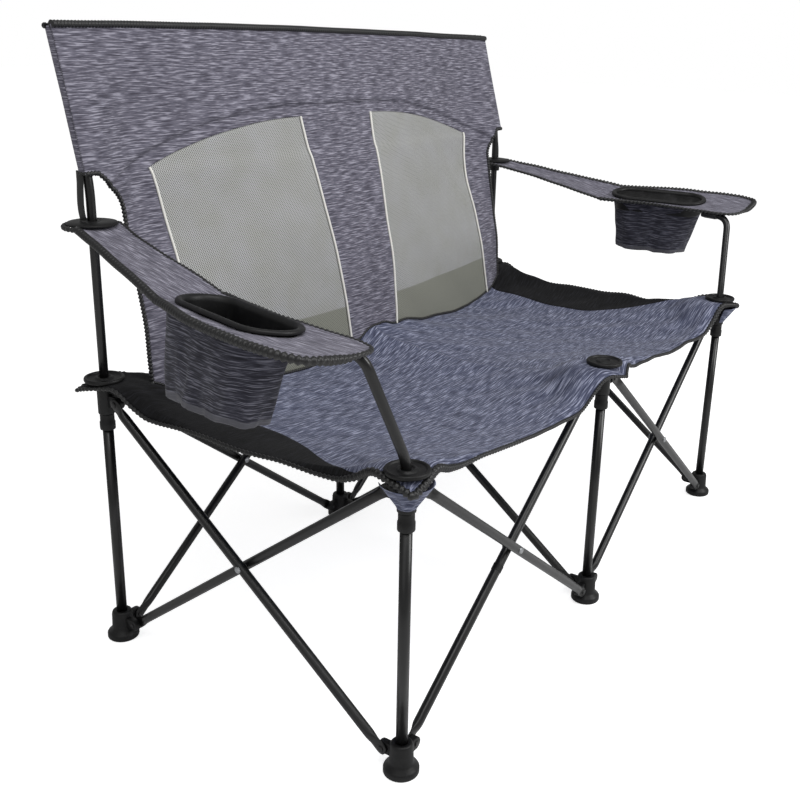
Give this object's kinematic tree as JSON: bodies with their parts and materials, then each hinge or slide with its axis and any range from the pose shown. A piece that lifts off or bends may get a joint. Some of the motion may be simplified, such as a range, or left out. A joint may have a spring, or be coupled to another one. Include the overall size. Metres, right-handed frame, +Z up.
{
  "type": "folding camping loveseat",
  "caption": "Folding camping loveseat: sling seat and arched mesh-window back on a scissor frame of black tubes, with fabric arms that hold cup pouches.",
  "frame": {"origin": "on the floor under the middle of the whole object's box", "axes": "+X to the right of someone looking at the front, +Y towards the back, +Z up"},
  "size_m": [1.582, 0.6826, 0.985],
  "materials": {
    "black_steel": "black powder coat with a soft sheen",
    "black_plastic": "moulded, fine texture",
    "seat_fabric": "heathered blue-grey woven polyester with black overlocked edges",
    "back_fabric": "heathered purple-grey woven polyester with black overlocked edges",
    "pouch_fabric": "darker heathered polyester",
    "window_mesh": "warm grey open mesh with off-white piping"
  },
  "bodies": {
    "leg_back_middle": {"foot_back_middle": "black_plastic", "leg_back_middle": "black_steel", "collar_back_middle": "black_plastic"},
    "leg_back_left": {"foot_back_left": "black_plastic", "leg_back_left": "black_steel", "collar_back_left": "black_plastic"},
    "leg_back_right": {"foot_back_right": "black_plastic", "leg_back_right": "black_steel", "collar_back_right": "black_plastic"},
    "leg_front_middle": {"foot_front_middle": "black_plastic", "leg_front_middle": "black_steel", "collar_front_middle": "black_plastic"},
    "leg_front_left": {"foot_front_left": "black_plastic", "leg_front_left": "black_steel", "collar_front_left": "black_plastic"},
    "leg_front_right": {"foot_front_right": "black_plastic", "leg_front_right": "black_steel", "collar_front_right": "black_plastic"},
    "post_back_middle": {"hub_back_middle": "black_plastic", "back_post_middle": "black_steel", "back_panel": "back_fabric", "back_mesh_left": "window_mesh", "back_mesh_right": "window_mesh"},
    "post_back_left": {"hub_back_left": "black_plastic", "back_post_left": "black_steel", "arm_disc_left": "black_plastic"},
    "post_back_right": {"hub_back_right": "black_plastic", "back_post_right": "black_steel", "arm_disc_right": "black_plastic"},
    "post_front_middle": {"hub_front_middle": "black_plastic"},
    "post_front_left": {"hub_front_left": "black_plastic", "arm_tube_left": "black_steel"},
    "post_front_right": {"hub_front_right": "black_plastic", "arm_tube_right": "black_steel"},
    "brace_middle_inner": {"brace_middle_inner": "black_steel"},
    "brace_middle_outer": {"brace_middle_outer": "black_steel"},
    "brace_back_left_outer": {"brace_back_left_outer": "black_steel"},
    "brace_back_left_inner": {"brace_back_left_inner": "black_steel"},
    "brace_back_right_inner": {"brace_back_right_inner": "black_steel"},
    "brace_back_right_outer": {"brace_back_right_outer": "black_steel"},
    "brace_side_left_inner": {"brace_side_left_inner": "black_steel"},
    "brace_side_left_outer": {"brace_side_left_outer": "black_steel"},
    "brace_side_right_inner": {"brace_side_right_inner": "black_steel"},
    "brace_side_right_outer": {"brace_side_right_outer": "black_steel"},
    "brace_front_left_outer": {"brace_front_left_outer": "black_steel"},
    "brace_front_left_inner": {"brace_front_left_inner": "black_steel"},
    "brace_front_right_inner": {"brace_front_right_inner": "black_steel"},
    "brace_front_right_outer": {"brace_front_right_outer": "black_steel"},
    "seat_left_outer": {"seat_left_outer": "seat_fabric"},
    "seat_left_inner": {"seat_left_inner": "seat_fabric"},
    "seat_right_inner": {"seat_right_inner": "seat_fabric"},
    "seat_right_outer": {"seat_right_outer": "seat_fabric"},
    "arm_rear_left": {"arm_rear_left": "seat_fabric"},
    "arm_rear_right": {"arm_rear_right": "seat_fabric"},
    "arm_front_left": {"arm_front_left": "seat_fabric", "cup_ring_left": "black_plastic", "cup_pouch_left": "pouch_fabric"},
    "arm_front_right": {"arm_front_right": "seat_fabric", "cup_ring_right": "black_plastic", "cup_pouch_right": "pouch_fabric"}
  },
  "joints": [
    {"name": "fold", "type": "hinge", "parent": "leg_back_middle", "child": "brace_middle_inner", "pos_m": [0, 0.24965, 0.03], "axis": [-1, 0, 0], "range_deg": [0, 43], "deforming": ["seat_left_outer", "seat_left_inner", "seat_right_inner", "seat_right_outer", "back_panel", "back_mesh_left", "back_mesh_right", "arm_rear_left", "arm_rear_right", "arm_front_left", "arm_front_right", "cup_pouch_left", "cup_pouch_right"]},
    {"name": "cross_middle", "type": "hinge", "parent": "brace_middle_inner", "child": "brace_middle_outer", "pos_m": [0, -0.01285, 0.229], "axis": [-1, 0, 0], "range_deg": [-86, 0]},
    {"name": "foot_pivot_front_middle", "type": "hinge", "parent": "brace_middle_outer", "child": "leg_front_middle", "pos_m": [0, -0.27535, 0.03], "axis": [-1, 0, 0], "range_deg": [0, 43]},
    {"name": "hub_pivot_front_middle", "type": "hinge", "parent": "brace_middle_inner", "child": "post_front_middle", "pos_m": [0, -0.27535, 0.428], "axis": [-1, 0, 0], "range_deg": [-43, 0]},
    {"name": "hub_pivot_back_middle", "type": "hinge", "parent": "brace_middle_outer", "child": "post_back_middle", "pos_m": [0, 0.24965, 0.428], "axis": [-1, 0, 0], "range_deg": [0, 43]},
    {"name": "fold_back_left", "type": "hinge", "parent": "leg_back_middle", "child": "brace_back_left_outer", "pos_m": [-0.03, 0.27965, 0.03], "axis": [0, 1, 0], "range_deg": [0, 43]},
    {"name": "cross_back_left", "type": "hinge", "parent": "brace_back_left_outer", "child": "brace_back_left_inner", "pos_m": [-0.2925, 0.27965, 0.229], "axis": [0, 1, 0], "range_deg": [-86, 0]},
    {"name": "foot_pivot_back_left", "type": "hinge", "parent": "brace_back_left_inner", "child": "leg_back_left", "pos_m": [-0.555, 0.27965, 0.03], "axis": [0, 1, 0], "range_deg": [0, 43]},
    {"name": "hub_pivot_back_left", "type": "hinge", "parent": "brace_back_left_outer", "child": "post_back_left", "pos_m": [-0.555, 0.27965, 0.428], "axis": [0, 1, 0], "range_deg": [-43, 0]},
    {"name": "fold_back_right", "type": "hinge", "parent": "leg_back_middle", "child": "brace_back_right_inner", "pos_m": [0.03, 0.27965, 0.03], "axis": [0, -1, 0], "range_deg": [0, 43]},
    {"name": "cross_back_right", "type": "hinge", "parent": "brace_back_right_inner", "child": "brace_back_right_outer", "pos_m": [0.2925, 0.27965, 0.229], "axis": [0, -1, 0], "range_deg": [-86, 0]},
    {"name": "foot_pivot_back_right", "type": "hinge", "parent": "brace_back_right_outer", "child": "leg_back_right", "pos_m": [0.555, 0.27965, 0.03], "axis": [0, -1, 0], "range_deg": [0, 43]},
    {"name": "hub_pivot_back_right", "type": "hinge", "parent": "brace_back_right_inner", "child": "post_back_right", "pos_m": [0.555, 0.27965, 0.428], "axis": [0, -1, 0], "range_deg": [-43, 0]},
    {"name": "fold_side_left", "type": "hinge", "parent": "leg_back_left", "child": "brace_side_left_inner", "pos_m": [-0.585, 0.24965, 0.03], "axis": [-1, 0, 0], "range_deg": [0, 43]},
    {"name": "cross_side_left", "type": "hinge", "parent": "brace_side_left_inner", "child": "brace_side_left_outer", "pos_m": [-0.585, -0.01285, 0.229], "axis": [-1, 0, 0], "range_deg": [-86, 0]},
    {"name": "foot_pivot_front_left", "type": "hinge", "parent": "brace_side_left_outer", "child": "leg_front_left", "pos_m": [-0.585, -0.27535, 0.03], "axis": [-1, 0, 0], "range_deg": [0, 43]},
    {"name": "hub_pivot_front_left", "type": "hinge", "parent": "brace_side_left_inner", "child": "post_front_left", "pos_m": [-0.585, -0.27535, 0.428], "axis": [-1, 0, 0], "range_deg": [-43, 0]},
    {"name": "fold_side_right", "type": "hinge", "parent": "leg_back_right", "child": "brace_side_right_inner", "pos_m": [0.585, 0.24965, 0.03], "axis": [-1, 0, 0], "range_deg": [0, 43]},
    {"name": "cross_side_right", "type": "hinge", "parent": "brace_side_right_inner", "child": "brace_side_right_outer", "pos_m": [0.585, -0.01285, 0.229], "axis": [-1, 0, 0], "range_deg": [-86, 0]},
    {"name": "foot_pivot_front_right", "type": "hinge", "parent": "brace_side_right_outer", "child": "leg_front_right", "pos_m": [0.585, -0.27535, 0.03], "axis": [-1, 0, 0], "range_deg": [0, 43]},
    {"name": "hub_pivot_front_right", "type": "hinge", "parent": "brace_side_right_inner", "child": "post_front_right", "pos_m": [0.585, -0.27535, 0.428], "axis": [-1, 0, 0], "range_deg": [-43, 0]},
    {"name": "fold_front_left", "type": "hinge", "parent": "leg_front_middle", "child": "brace_front_left_outer", "pos_m": [-0.03, -0.30535, 0.03], "axis": [0, 1, 0], "range_deg": [0, 43]},
    {"name": "cross_front_left", "type": "hinge", "parent": "brace_front_left_outer", "child": "brace_front_left_inner", "pos_m": [-0.2925, -0.30535, 0.229], "axis": [0, 1, 0], "range_deg": [-86, 0]},
    {"name": "fold_front_right", "type": "hinge", "parent": "leg_front_middle", "child": "brace_front_right_inner", "pos_m": [0.03, -0.30535, 0.03], "axis": [0, -1, 0], "range_deg": [0, 43]},
    {"name": "cross_front_right", "type": "hinge", "parent": "brace_front_right_inner", "child": "brace_front_right_outer", "pos_m": [0.2925, -0.30535, 0.229], "axis": [0, -1, 0], "range_deg": [-86, 0]},
    {"name": "seat_fold_left_outer", "type": "hinge", "parent": "post_back_left", "child": "seat_left_outer", "pos_m": [-0.585, 0.27965, 0.458], "axis": [0, 1, 0], "range_deg": [0, 62.35]},
    {"name": "seat_fold_left_inner", "type": "hinge", "parent": "post_back_middle", "child": "seat_left_inner", "pos_m": [0, 0.27965, 0.458], "axis": [0, -1, 0], "range_deg": [0, 62.35]},
    {"name": "seat_fold_right_inner", "type": "hinge", "parent": "post_back_middle", "child": "seat_right_inner", "pos_m": [0, 0.27965, 0.458], "axis": [0, 1, 0], "range_deg": [0, 62.35]},
    {"name": "seat_fold_right_outer", "type": "hinge", "parent": "post_back_right", "child": "seat_right_outer", "pos_m": [0.585, 0.27965, 0.458], "axis": [0, -1, 0], "range_deg": [0, 62.35]},
    {"name": "arm_rear_fold_left", "type": "hinge", "parent": "post_back_left", "child": "arm_rear_left", "pos_m": [-0.585, 0.24165, 0.703], "axis": [-1, 0, 0], "range_deg": [0, 81.7]},
    {"name": "arm_rear_fold_right", "type": "hinge", "parent": "post_back_right", "child": "arm_rear_right", "pos_m": [0.585, 0.24165, 0.703], "axis": [-1, 0, 0], "range_deg": [0, 81.7]},
    {"name": "arm_front_fold_left", "type": "hinge", "parent": "post_front_left", "child": "arm_front_left", "pos_m": [-0.585, -0.28335, 0.638], "axis": [1, 0, 0], "range_deg": [0, 83.85]},
    {"name": "arm_front_fold_right", "type": "hinge", "parent": "post_front_right", "child": "arm_front_right", "pos_m": [0.585, -0.28335, 0.638], "axis": [1, 0, 0], "range_deg": [0, 83.85]}
  ],
  "couplings": [
    {"joint": "cross_middle", "follows": "fold", "ratio": -2},
    {"joint": "foot_pivot_front_middle", "follows": "fold", "ratio": 1},
    {"joint": "hub_pivot_front_middle", "follows": "fold", "ratio": -1},
    {"joint": "hub_pivot_back_middle", "follows": "fold", "ratio": 1},
    {"joint": "fold_back_left", "follows": "fold", "ratio": 1},
    {"joint": "cross_back_left", "follows": "fold", "ratio": -2},
    {"joint": "foot_pivot_back_left", "follows": "fold", "ratio": 1},
    {"joint": "hub_pivot_back_left", "follows": "fold", "ratio": -1},
    {"joint": "fold_back_right", "follows": "fold", "ratio": 1},
    {"joint": "cross_back_right", "follows": "fold", "ratio": -2},
    {"joint": "foot_pivot_back_right", "follows": "fold", "ratio": 1},
    {"joint": "hub_pivot_back_right", "follows": "fold", "ratio": -1},
    {"joint": "fold_side_left", "follows": "fold", "ratio": 1},
    {"joint": "cross_side_left", "follows": "fold", "ratio": -2},
    {"joint": "foot_pivot_front_left", "follows": "fold", "ratio": 1},
    {"joint": "hub_pivot_front_left", "follows": "fold", "ratio": -1},
    {"joint": "fold_side_right", "follows": "fold", "ratio": 1},
    {"joint": "cross_side_right", "follows": "fold", "ratio": -2},
    {"joint": "foot_pivot_front_right", "follows": "fold", "ratio": 1},
    {"joint": "hub_pivot_front_right", "follows": "fold", "ratio": -1},
    {"joint": "fold_front_left", "follows": "fold", "ratio": 1},
    {"joint": "cross_front_left", "follows": "fold", "ratio": -2},
    {"joint": "fold_front_right", "follows": "fold", "ratio": 1},
    {"joint": "cross_front_right", "follows": "fold", "ratio": -2},
    {"joint": "seat_fold_left_outer", "follows": "fold", "ratio": 1.45},
    {"joint": "seat_fold_left_inner", "follows": "fold", "ratio": 1.45},
    {"joint": "seat_fold_right_inner", "follows": "fold", "ratio": 1.45},
    {"joint": "seat_fold_right_outer", "follows": "fold", "ratio": 1.45},
    {"joint": "arm_rear_fold_left", "follows": "fold", "ratio": 1.9},
    {"joint": "arm_rear_fold_right", "follows": "fold", "ratio": 1.9},
    {"joint": "arm_front_fold_left", "follows": "fold", "ratio": 1.95},
    {"joint": "arm_front_fold_right", "follows": "fold", "ratio": 1.95}
  ]
}
